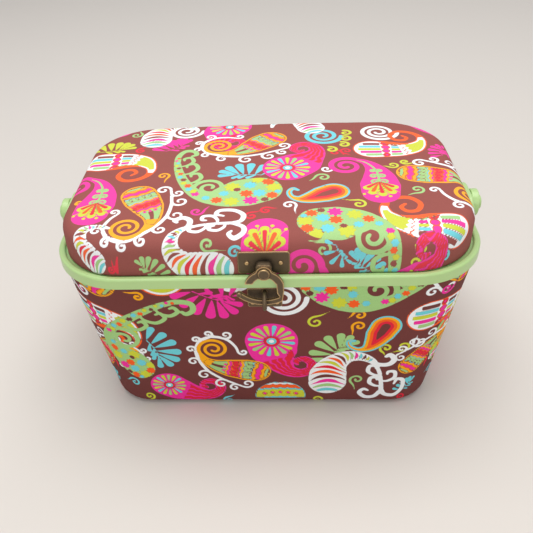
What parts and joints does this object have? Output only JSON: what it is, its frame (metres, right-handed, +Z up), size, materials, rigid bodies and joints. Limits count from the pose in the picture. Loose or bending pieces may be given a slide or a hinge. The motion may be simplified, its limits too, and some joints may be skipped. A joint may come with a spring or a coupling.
{
  "type": "sewing box",
  "caption": "Cloth-covered sewing box with a padded hinged lid, moulded rim, swing-hook latch, bail handle and two nested lift-out trays with a pincushion.",
  "frame": {"origin": "centre of the underside", "axes": "+X along the box's width, to the right as seen from the latch side, +Z up, the latch faces -Y and the hinges are at +Y"},
  "size_m": [0.2844, 0.1861, 0.149],
  "materials": {
    "printed_cloth": "printed cotton with a paisley pattern",
    "green_plastic": "satin moulded plastic",
    "pressed_board": "raw pressed board",
    "lining_cloth": "satin lining",
    "foam": "soft padding",
    "base_card": "textured card",
    "tray_plastic": "moulded plastic",
    "cushion_cloth": "cotton",
    "antique_brass": "antiqued and lacquered",
    "steel_pin": "turned"
  },
  "bodies": {
    "box": {"body_cover": "printed_cloth", "body_shell": "pressed_board", "body_lining": "lining_cloth", "base_panel": "base_card", "rim": "green_plastic", "handle_pins": "green_plastic", "latch_keeper_plate": "antique_brass", "latch_keeper_nails": "antique_brass", "latch_staple": "antique_brass", "hinge_rim_leaves": "antique_brass", "hinge_rim_nails": "antique_brass", "hinge_pins": "steel_pin"},
    "lid": {"lid_cover": "printed_cloth", "lid_foam": "foam", "lid_shell": "pressed_board", "lid_frame": "green_plastic", "lid_lining": "lining_cloth", "lid_pocket": "lining_cloth", "pocket_elastic": "lining_cloth", "latch_lid_plate": "antique_brass", "latch_lid_nails": "antique_brass", "latch_rivet": "antique_brass", "hinge_lid_leaves": "antique_brass", "hinge_lid_nails": "antique_brass"},
    "latch_hook": {"latch_hook": "antique_brass"},
    "handle": {"handle": "green_plastic"},
    "lower_tray": {"lower_tray": "tray_plastic"},
    "upper_tray": {"upper_tray": "tray_plastic", "pin_cushion": "cushion_cloth"}
  },
  "joints": [
    {"name": "lid_hinge", "type": "hinge", "parent": "box", "child": "lid", "pos_m": [0, 0.08935, 0.1266], "axis": [-1, 0, 0], "range_deg": [0, 100]},
    {"name": "latch_hook_swing", "type": "hinge", "parent": "lid", "child": "latch_hook", "pos_m": [0, -0.0905, 0.1293], "axis": [0, -1, 0], "range_deg": [0, 100]},
    {"name": "handle_swing", "type": "hinge", "parent": "box", "child": "handle", "pos_m": [0, 0, 0.1205], "axis": [1, 0, 0], "range_deg": [0, 250]},
    {"name": "lower_tray_lift", "type": "slide", "parent": "box", "child": "lower_tray", "axis": [0, 0, 1], "range_m": [0, 0.0035]},
    {"name": "upper_tray_lift", "type": "slide", "parent": "lower_tray", "child": "upper_tray", "axis": [0, 0, 1], "range_m": [0, 0.0035]}
  ]
}
